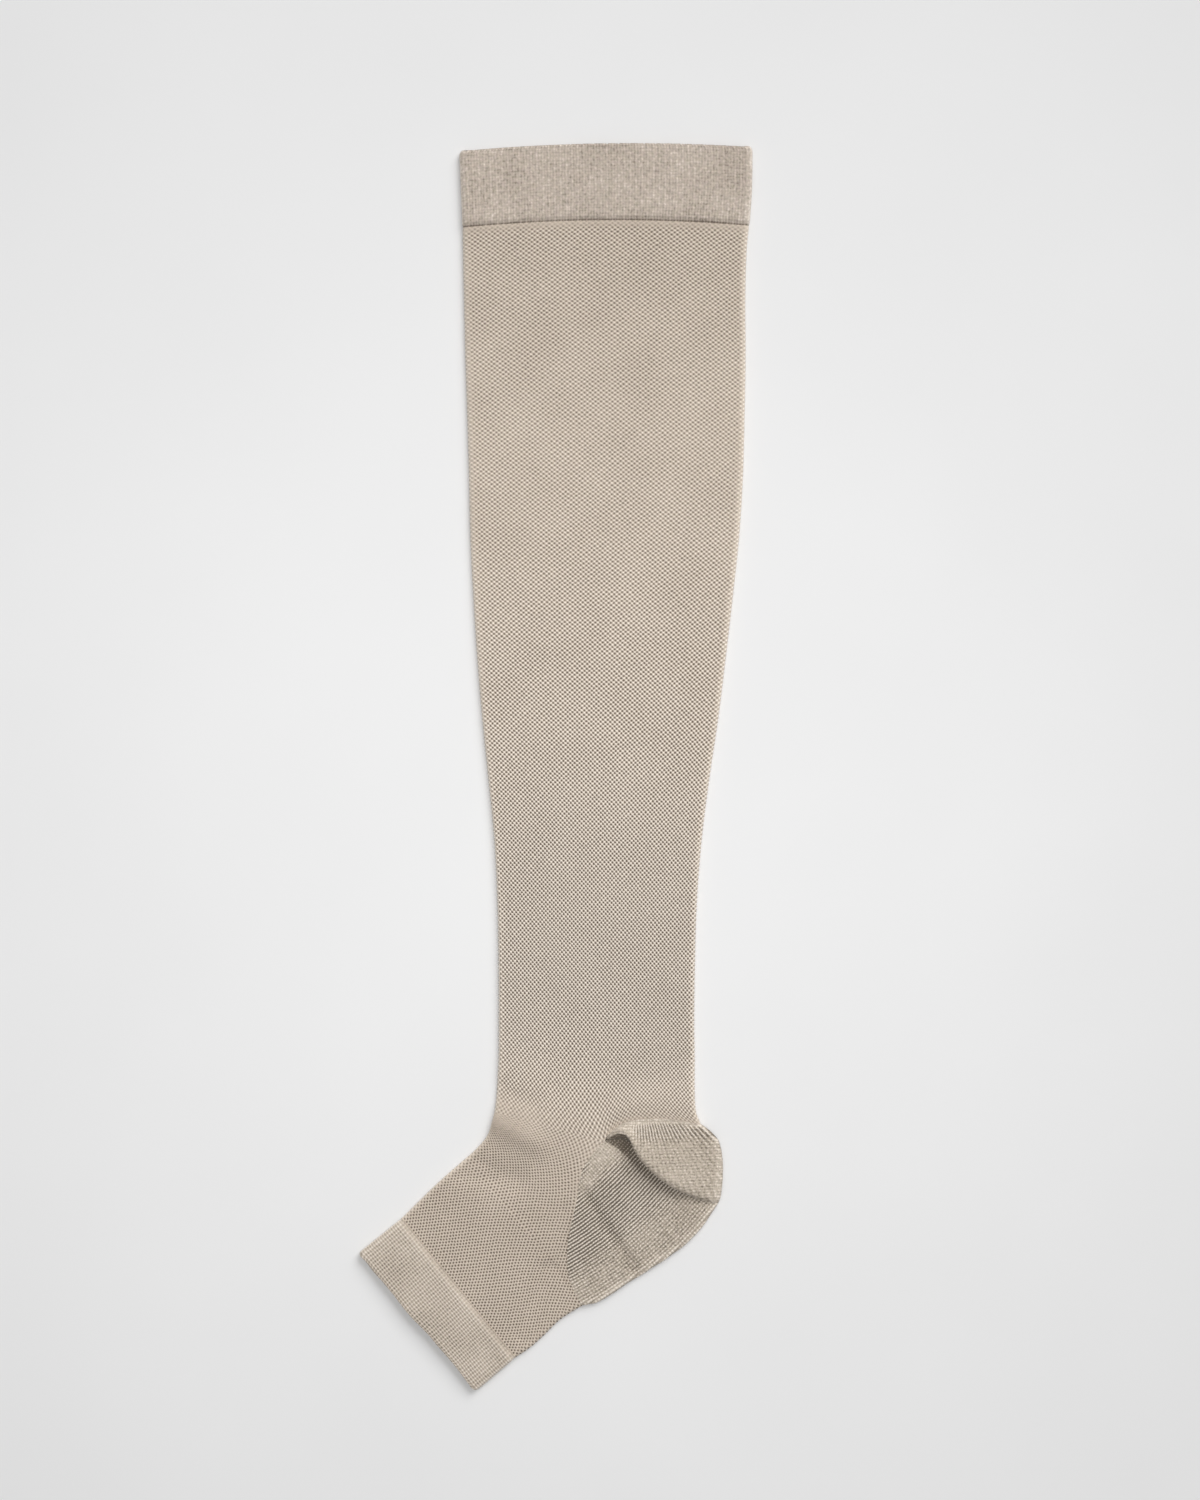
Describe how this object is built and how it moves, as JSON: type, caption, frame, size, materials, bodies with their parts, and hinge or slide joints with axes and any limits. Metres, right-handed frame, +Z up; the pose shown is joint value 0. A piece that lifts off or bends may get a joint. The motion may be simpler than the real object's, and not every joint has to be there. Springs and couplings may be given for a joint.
{
  "type": "compression stocking",
  "caption": "Open-toe, knee-high knitted compression stocking lying flat on its side, with ribbed top and toe bands and a turned heel.",
  "frame": {"origin": "under the middle of the stocking's box, on the surface that it lies on", "axes": "+X from the shin fold to the calf fold, +Y from the toes up to the top band, +Z up from the surface through the flat cloth"},
  "size_m": [0.1416, 0.4488, 0.0059],
  "materials": {
    "ribbed_welt": "fine ribbed knit of nylon and elastane, doubled, matt beige",
    "birdseye_knit": "bird's-eye tuck knit of nylon and elastane, cream dots on taupe",
    "plain_knit": "plain and ribbed heel knit of nylon and elastane, soft beige"
  },
  "bodies": {
    "root": {"top_band": "ribbed_welt", "leg": "birdseye_knit", "heel": "plain_knit", "foot": "birdseye_knit", "toe_band": "ribbed_welt"}
  },
  "joints": []
}
